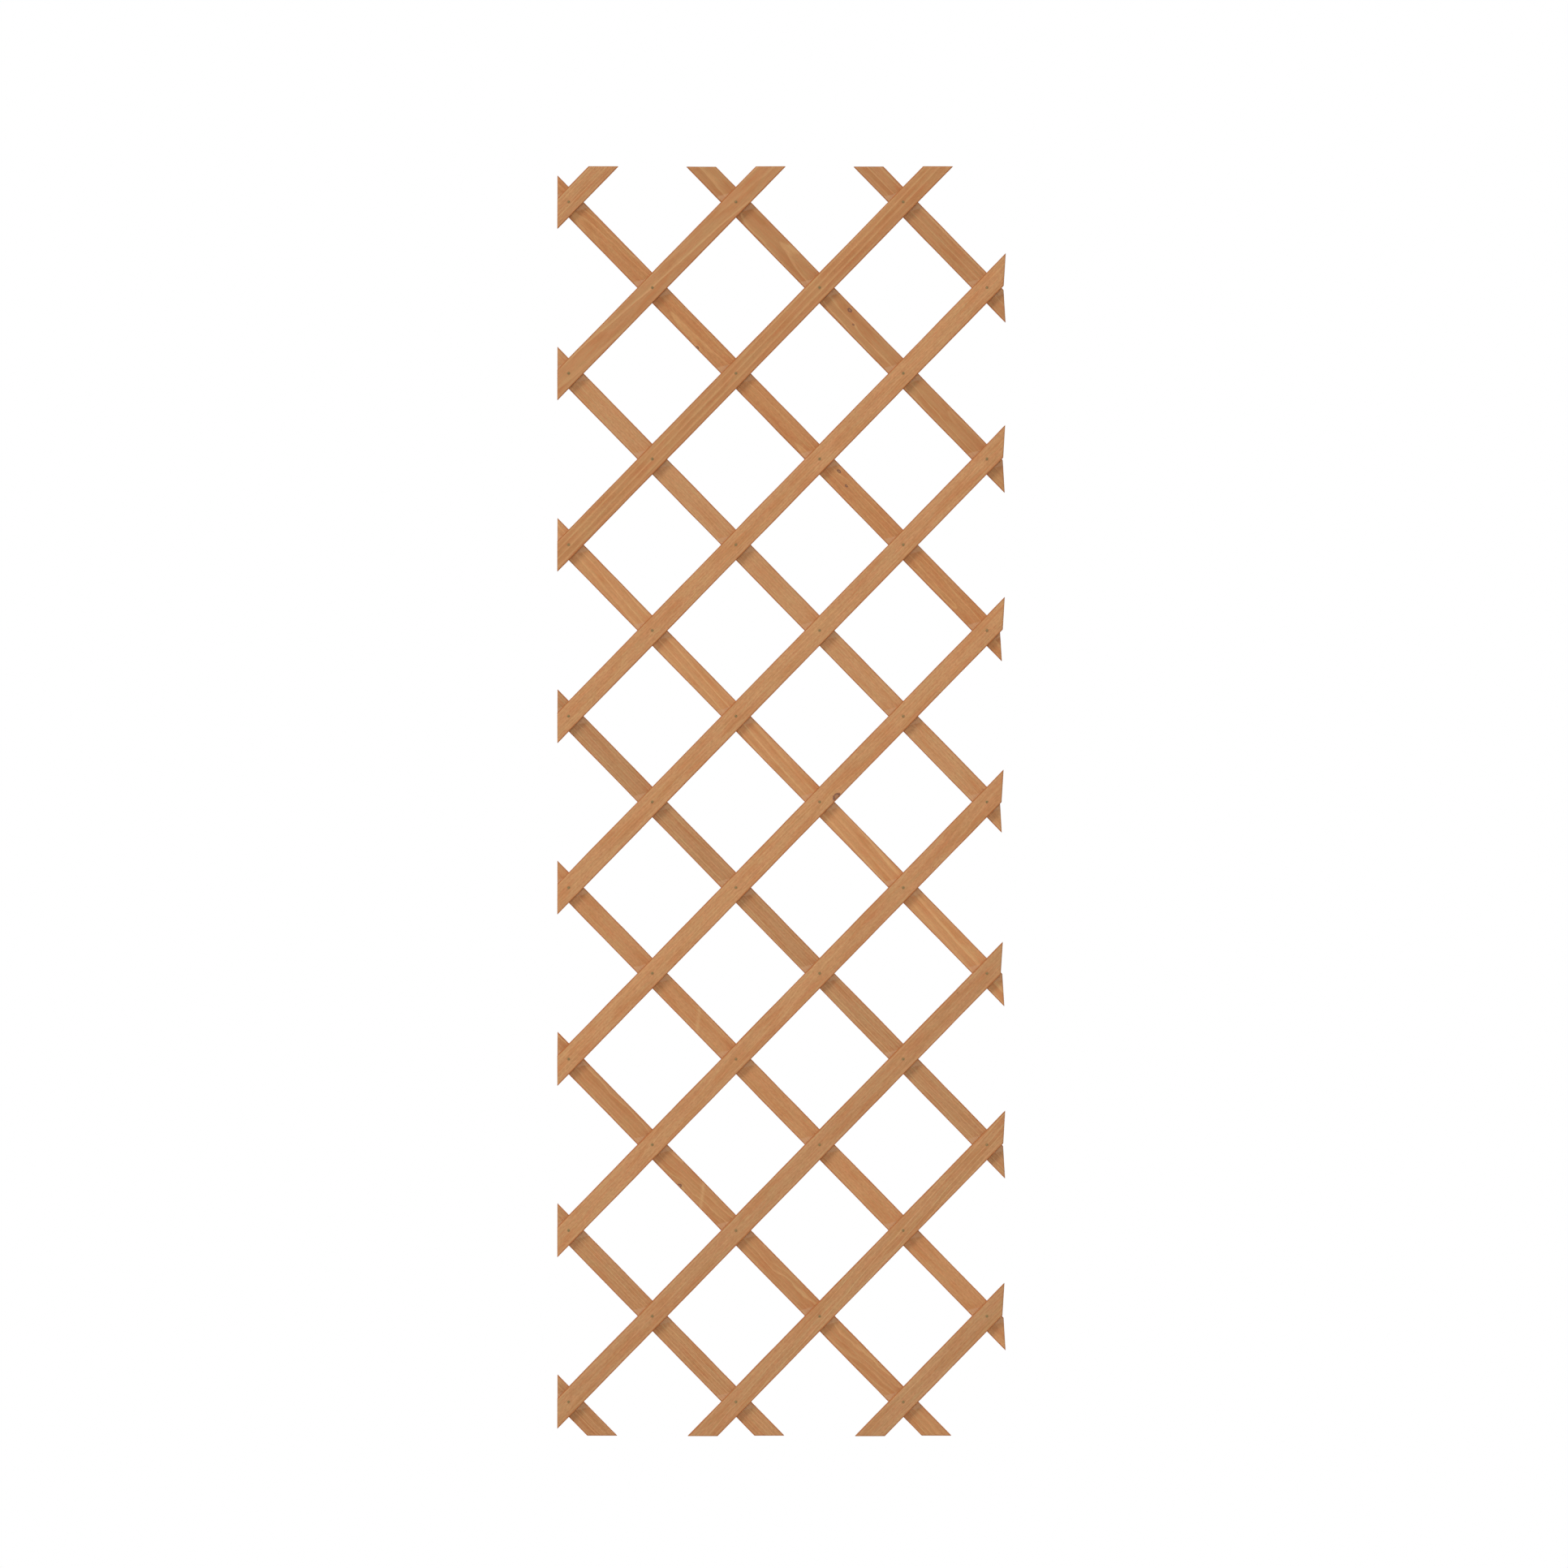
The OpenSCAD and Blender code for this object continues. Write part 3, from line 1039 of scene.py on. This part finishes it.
def make_lath(layer, number, figure):
    node = f"{layer.name}_slat_{number:02d}"
    cells = lath_cells(layer, number)
    first = crossing(*cells[0])
    (start, start_slope), (finish, finish_slope) = end_cuts(layer, cells, figure.short * MM)
    seed = number * SEED_STEP + layer.seed
    seat, seat_depth = HEAD_SEAT if layer is FRONT else TAIL_SEAT
    wood = stained_wood(f"stained_wood_{layer.name}_{number:02d}", layer, first, figure, seed)
    lath = mesh_from_tree(f"{layer.name}_lath_{number:02d}", lath_tree, {
        "Start": start, "Start Slope": start_slope, "End": finish, "End Slope": finish_slope,
        "Width": LATH_WIDTH, "Thickness": lath_thickness, "Edge Radius": EDGE_RADIUS, "Cut Ease": CUT_EASE,
        "Rings": int((finish - start) / RING_SPACING) + SPARE_RINGS,
        "Wave Height": WAVE_HEIGHT, "Wave Length": WAVE_LENGTH, "Seed": seed,
        "Bore": BORE, "Seat": seat, "Seat Depth": seat_depth, "Seat Side": layer.side,
        "Rivets": len(cells), "Pitch": RIVET_PITCH, "Turn": layer.turn,
        "Place": first + Vector((0, layer.middle, 0)), "Finish": wood})
    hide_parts(node)
    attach(lath, body_of(node))
    return lath


laths = [make_lath(FRONT, number, figure) for number, figure in enumerate(FRONT_FIGURES, 1)]
laths += [make_lath(REAR, number, figure) for number, figure in enumerate(REAR_FIGURES, 1)]
print(len(laths), "laths,", sum(len(lath.data.polygons) for lath in laths), "faces")

# %% [markdown]
# ## The rivets
# A rivet is turned from soft wire: a low crowned head that sits in the face of the front lath, a shank, and
# a tail that was hammered over in a hole in the back lath. When an outline is turned, each of its points
# becomes a ring, so the tree starts from a plain cylinder with as many segments as the outline has steps,
# and two switches give each ring its height and its radius. A little noise on the tail and the crown keeps
# the hammer's work visible.

# %% Rivet outline
SOFTEN = 0.12 * MM
# A tail step is a distance from the tail's end, in softenings, and a share of the end's radius.
TAIL_STEPS = ((0.0, 0.72), (1.0, 0.92), (2.2, 1.0))
# Crown steps run from the rim of the head towards its middle, as shares of the radius.
CROWN_STEPS = (0.0, 0.04, 0.14, 0.32, 0.55, 0.8)


def rivet_outline(given):
    """The rings of a rivet as heights and radii: its tail, its shank with the head, and its crown."""
    tail_under, tail_radius = given["Tail Under"], given["Tail Radius"]
    head_under, head_radius = given["Head Under"], given["Head Radius"]
    shank_radius = given["Shank Radius"]
    tail_end, end_radius = given["Tail End"], given["Tail End Radius"]
    tail = [(tail_end - SOFTEN * deep, end_radius * share) for deep, share in TAIL_STEPS]
    tail += [(tail_under + SOFTEN, tail_radius), (tail_under, tail_radius - SOFTEN)]
    shank = [(tail_under, shank_radius), (head_under, shank_radius)]
    shank += [(head_under, head_radius - SOFTEN), (head_under - SOFTEN, head_radius)]
    crown = []
    for step in CROWN_STEPS:
        height = given["Rim Height"] - given["Crown"] * (1 - (1 - step) ** 2)
        crown.append((height, head_radius * (1 - step)))
    return tail, shank, crown


print("crown steps:", len(CROWN_STEPS))

# %% [markdown]
# The rivets of a lath are instances on a line of points, each spun by a seeded random angle. One place on a
# line can be left out, because the rivet in the middle of the panel is a piece of its own. At the end the
# instances are realized, because they don't survive the export.

# %% Rivet tree
RIVET_SIDES = 28
SHARP_ANGLE = math.radians(38)
DENTS_ACROSS = 1.3
DENTS_ALONG = 4.0
DENT_LIFT = 0.5
RIVET_SIZES = ("Head Radius", "Rim Height", "Crown", "Head Under", "Shank Radius", "Tail Under",
               "Tail Radius", "Tail End", "Tail End Radius", "Dents")


def pick(tree, index, values):
    """The value that stands at an index."""
    switch = add_node(tree, "GeometryNodeIndexSwitch", {"Index": index}, data_type="FLOAT")
    while len(switch.index_switch_items) < len(values):
        switch.index_switch_items.new()
    for slot, value in enumerate(values):
        plug(value, switch.inputs[str(slot)])
    return Signal(switch.outputs[0])


def turned_rivet(tree, given):
    """One rivet at the origin, its head towards -Y."""
    tail, shank, crown = rivet_outline(given)
    outline = tail + shank + crown
    steps = len(outline) - 1
    blank = {"Vertices": RIVET_SIDES, "Side Segments": steps, "Radius": 1.0, "Depth": 1.0}
    rivet = result(tree, "GeometryNodeMeshCylinder", blank)
    x, y, z = result(tree, "GeometryNodeInputPosition").split()
    ring = ((z + 0.5) * steps).rounded()
    height = pick(tree, ring, [place for place, _ in outline])
    radius = pick(tree, ring, [size for _, size in outline])
    hammered = (ring < len(tail) - 0.5) + (ring > len(tail) + len(shank) - 0.5)
    dent = swing(tree, x * DENTS_ACROSS, y * DENTS_ACROSS, z * DENTS_ALONG) * given["Dents"] * hammered
    place = join(tree, x * (radius + dent), height + dent * DENT_LIFT, y * (radius + dent))
    rivet = result(tree, "GeometryNodeSetPosition", {"Geometry": rivet, "Position": place})
    rivet = result(tree, "GeometryNodeSetShadeSmooth", {"Geometry": rivet, "Shade Smooth": True})
    angle = result(tree, "GeometryNodeInputMeshEdgeAngle", output="Unsigned Angle")
    sharp = {"Geometry": rivet, "Selection": angle > SHARP_ANGLE, "Shade Smooth": False}
    return result(tree, "GeometryNodeSetShadeSmooth", sharp, domain="EDGE")


def build_rivet_tree():
    inputs = {**dict.fromkeys(RIVET_SIZES, NUMBER), **dict.fromkeys(("Count", "Skip", "Seed"), WHOLE),
              "First": ARROW, "Step": ARROW, "Finish": FINISH}
    tree, given = new_group("Rivets", "GeometryNodeTree", inputs, {"Rivets": SHAPE})
    line = {"Count": given["Count"], "Start Location": given["First"], "Offset": given["Step"]}
    points = result(tree, "GeometryNodeMeshLine", line)
    skipped = abs(result(tree, "GeometryNodeInputIndex") - given["Skip"]) < 0.5
    points = result(tree, "GeometryNodeDeleteGeometry", {"Geometry": points, "Selection": skipped})
    # Inputs 2 and 3 are the limits of a random float, which is output 1.
    angles = {2: 0.0, 3: 2 * math.pi, "Seed": given["Seed"]}
    spin = join(tree, 0.0, result(tree, "FunctionNodeRandomValue", angles, output=1), 0.0)
    copies = {"Points": points, "Instance": turned_rivet(tree, given), "Rotation": spin}
    rivets = result(tree, "GeometryNodeInstanceOnPoints", copies)
    rivets = result(tree, "GeometryNodeRealizeInstances", {"Geometry": rivets})
    rivets = result(tree, "GeometryNodeSetMaterial", {"Geometry": rivets, "Material": given["Finish"]})
    return hand_out(tree, {"Rivets": rivets})


rivet_tree = build_rivet_tree()
print("rivet tree:", len(rivet_tree.nodes), "nodes")

# %% [markdown]
# ## Dull rivet metal
# The heads look like brassed steel that has stood outdoors: a dull greenish grey, mottled, darker in the
# low places and a little brighter where it was rubbed. Two noises mix three colours, and the same noises
# make the gloss uneven.

# %% Rivet finish
DULL_BRASS = screen_colour(146, 118, 74)
GREEN_GREY = screen_colour(116, 104, 62)
TARNISH = screen_colour(72, 58, 36)
PATCH_SIZE = 1.6 * MM
GRIT_SIZE = 0.3 * MM
GRIT_DEPTH = 0.05 * MM
GRIT_STRENGTH = 0.5
BRASS_STARTS = (0.35, 0.65)
TARNISH_STARTS = (0.55, 0.75)
TARNISH_SHARE = 0.6
METAL_ROUGHNESS, PATCH_ROUGHNESS, GRIT_ROUGHNESS = 0.5, 0.2, 0.15
TARNISHED_METAL = 0.35


def dull_metal():
    material, tree, shader = new_material("dull_rivet_metal")
    x, y, z = result(tree, "ShaderNodeTexCoord", output="Object").split()
    patch = noise(tree, x / PATCH_SIZE, y / PATCH_SIZE, z / PATCH_SIZE, detail=3.0)
    grit = noise(tree, x / GRIT_SIZE, y / GRIT_SIZE, z / GRIT_SIZE)
    colour = mix(tree, patch.rise(*BRASS_STARTS), GREEN_GREY, DULL_BRASS)
    colour = mix(tree, grit.rise(*TARNISH_STARTS) * TARNISH_SHARE, colour, TARNISH)
    roughness = patch * PATCH_ROUGHNESS + grit * GRIT_ROUGHNESS + METAL_ROUGHNESS
    plug(colour, shader.inputs["Base Color"])
    plug(roughness, shader.inputs["Roughness"])
    add_bump(tree, shader, grit + patch, GRIT_DEPTH, GRIT_STRENGTH)
    shader.inputs["Metallic"].default_value = TARNISHED_METAL
    return material


rivet_metal = dull_metal()
print("finish:", rivet_metal.name)

# %% Make the rivets
HEAD_RADIUS = 1.66 * MM
SHANK_RADIUS = 1.0 * MM
TAIL_RADIUS = 2.3 * MM
TAIL_END_RADIUS = 1.9 * MM
HEAD_SINK = 0.9 * MM
TAIL_SINK = 1.1 * MM
END_FLOAT = 0.1 * MM
CROWN = 0.4 * MM
DENTS = 0.16 * MM
SKIP_NONE = -1
CENTRE_SEED = 40


def make_rivets(name, node, cells, skip, seed):
    """The rivets that one body carries, on the line through their cells."""
    first = crossing(*cells[0])
    step = crossing(*cells[1]) - first if len(cells) > 1 else Vector((0, 0, 0))
    rivets = mesh_from_tree(name, rivet_tree, {
        "Head Radius": HEAD_RADIUS, "Rim Height": FRONT.near, "Crown": CROWN,
        "Head Under": FRONT.near + HEAD_SINK, "Shank Radius": SHANK_RADIUS,
        "Tail Under": REAR.far - TAIL_SINK, "Tail Radius": TAIL_RADIUS,
        "Tail End": REAR.far - END_FLOAT, "Tail End Radius": TAIL_END_RADIUS, "Dents": DENTS,
        "Count": len(cells), "Skip": skip, "First": first, "Step": step, "Seed": seed,
        "Finish": rivet_metal})
    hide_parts(node)
    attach(rivets, body_of(node))
    return rivets


rivet_sets = [make_rivets("middle_rivet", "centre_rivet", [CENTRE_CELL], SKIP_NONE, CENTRE_SEED)]
for number in range(1, len(FRONT_FIGURES) + 1):
    cells = lath_cells(FRONT, number)
    skip = cells.index(CENTRE_CELL) if CENTRE_CELL in cells else SKIP_NONE
    name, node = f"lath_rivets_{number:02d}", f"rivets_front_{number:02d}"
    rivet_sets.append(make_rivets(name, node, cells, skip, number))
print(len(rivet_sets), "sets of rivets,", sum(len(rivets.data.polygons) for rivets in rivet_sets), "faces")

# %% [markdown]
# ## Studio
# The panel hangs on a wall in use, so here it hangs above a pale floor with nothing behind it, high enough
# to be drawn out to its full length. The background is white only for camera rays, and for rays that mirror
# or pass through. For rays that only carry light it is dim, so it hardly lights the wood.

# %% White background
WHITE = (1, 1, 1, 1)
AMBIENT = 0.1


def seen_directly(tree):
    """1 for camera rays and for rays that mirror or pass through, and 0 for rays that only carry light."""
    path = add_node(tree, "ShaderNodeLightPath")
    rays = [Signal(path.outputs[f"Is {kind} Ray"]) for kind in ("Camera", "Glossy", "Transmission")]
    return rays[0].most(rays[1]).most(rays[2])


def white_world():
    world = bpy.data.worlds.new("studio")
    bpy.context.scene.world = world
    world.use_nodes = True
    tree = world.node_tree
    soft = tree.nodes["Background"]
    soft.inputs["Color"].default_value = WHITE
    soft.inputs["Strength"].default_value = AMBIENT
    shown = result(tree, "ShaderNodeBackground", {"Color": WHITE, "Strength": 1.0})
    sides = {0: seen_directly(tree), 1: Signal(soft.outputs[0]), 2: shown}
    both = result(tree, "ShaderNodeMixShader", sides)
    plug(both, tree.nodes["World Output"].inputs["Surface"])


white_world()
print("ambient light", AMBIENT)

# %% [markdown]
# The floor is matt and takes the panel's shadow. For those same rays a little white is added to it, which
# lifts it from pale grey to white where no shadow falls, and further out it fades into the background, so
# no horizon shows.

# %% Pale floor
FLOOR_DROP = 400 * MM
FLOOR_SIZE = 30.0
FLOOR_COLOUR = (0.82, 0.82, 0.81, 1)
FLOOR_ROUGHNESS = 0.9
FLOOR_SHINE = 0.1
FLOOR_LIFT = 0.4
SHADOW_RADIUS = 1.2
WHITE_RADIUS = 2.0


def floor_finish():
    material, tree, shader = new_material("pale_floor")
    shader.inputs["Base Color"].default_value = FLOOR_COLOUR
    shader.inputs["Roughness"].default_value = FLOOR_ROUGHNESS
    shader.inputs["Specular IOR Level"].default_value = FLOOR_SHINE
    x, y, _ = result(tree, "ShaderNodeTexCoord", output="Object").split()
    seen = seen_directly(tree)
    far = distance(x, y).rise(SHADOW_RADIUS, WHITE_RADIUS)
    lift = result(tree, "ShaderNodeEmission", {"Color": WHITE, "Strength": seen * FLOOR_LIFT})
    lifted = result(tree, "ShaderNodeAddShader", {0: Signal(shader.outputs[0]), 1: lift})
    white = result(tree, "ShaderNodeEmission", {"Color": WHITE, "Strength": 1.0})
    both = result(tree, "ShaderNodeMixShader", {0: far * seen, 1: lifted, 2: white})
    plug(both, tree.nodes["Material Output"].inputs["Surface"])
    return material


def pale_floor():
    half = FLOOR_SIZE / 2
    z = cad_box[0].z - FLOOR_DROP
    corners = [(-half, -half, z), (half, -half, z), (half, half, z), (-half, half, z)]
    mesh = bpy.data.meshes.new("floor")
    mesh.from_pydata(corners, [], [(0, 1, 2, 3)])
    mesh.materials.append(floor_finish())
    add_object("floor", mesh)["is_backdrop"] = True


pale_floor()
print(f"floor {FLOOR_DROP / MM:.0f} mm below the panel")

# %% [markdown]
# One broad light from the upper left in front draws the narrow shadow beside each crossing. A second one
# from the front fills it, and softer ones from above and from behind keep the other sides readable. Suns are
# used because they light the top and the bottom of a tall panel alike, as area lamps close by wouldn't.

# %% Lights
class Sun(NamedTuple):
    """A distant light: where it stands, its strength, and how many degrees of the sky it fills."""
    name: str
    towards: tuple
    strength: float
    softness: float


SUNS = (
    Sun("key", (-0.579, -0.588, 0.565), 1.62, 22),
    Sun("front", (0.1, -1.0, 0.2), 1.04, 30),
    Sun("top", (0.1, -0.2, 1.0), 0.2, 60),
    Sun("back", (0.5, 0.8, 0.25), 2.3, 40),
)

for sun in SUNS:
    light = bpy.data.lights.new(sun.name, "SUN")
    light.energy = sun.strength
    light.angle = math.radians(sun.softness)
    lamp = add_object(sun.name, light)
    lamp.rotation_euler = Vector(sun.towards).to_track_quat("Z", "Y").to_euler()
print(len(SUNS), "lights")

# %% [markdown]
# ## Camera
# The photograph looks straight at the panel from far away: the laths keep the same width from top to bottom.
# A long lens from twelve metres gives that. The picture is square, and its width in millimetres at the panel
# follows from the rivet spacing in pixels. The middle of the picture lies a little above the middle of the
# panel and to the right of it.

# %% Camera and view
PICTURE_PIXELS = 1932
PITCH_PIXELS = 147.58
PANEL_MIDDLE_PIXEL = (962.3, 987.2)
LENS = 200.0
SENSOR = 36.0

pixel = RIVET_PITCH / PITCH_PIXELS
picture_width = PICTURE_PIXELS * pixel
camera_data = bpy.data.cameras.new("camera")
camera_data.lens = LENS
camera_data.sensor_width = SENSOR
camera = add_object("camera", camera_data)
aim_x = (PICTURE_PIXELS / 2 - PANEL_MIDDLE_PIXEL[0]) * pixel
aim_z = (PANEL_MIDDLE_PIXEL[1] - PICTURE_PIXELS / 2) * pixel
camera.location = (aim_x, FRONT.near - picture_width * LENS / SENSOR, aim_z)
camera.rotation_euler = (math.pi / 2, 0, 0)
bpy.context.scene.camera = camera
bpy.context.scene.view_settings.view_transform = "Standard"
print(f"camera {-camera.location.y:.2f} m away, picture {picture_width:.3f} m wide")

# %% [markdown]
# ## Sizes
# The sizes before and after dressing are compared, and the growth is printed: looks must not change the
# dimensions.

# %% Sizes and finish
dressed_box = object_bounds()
growth = (dressed_box[1] - dressed_box[0]) - (cad_box[1] - cad_box[0])
print("the box grew by", [round(side / MM, 2) for side in growth], "mm")
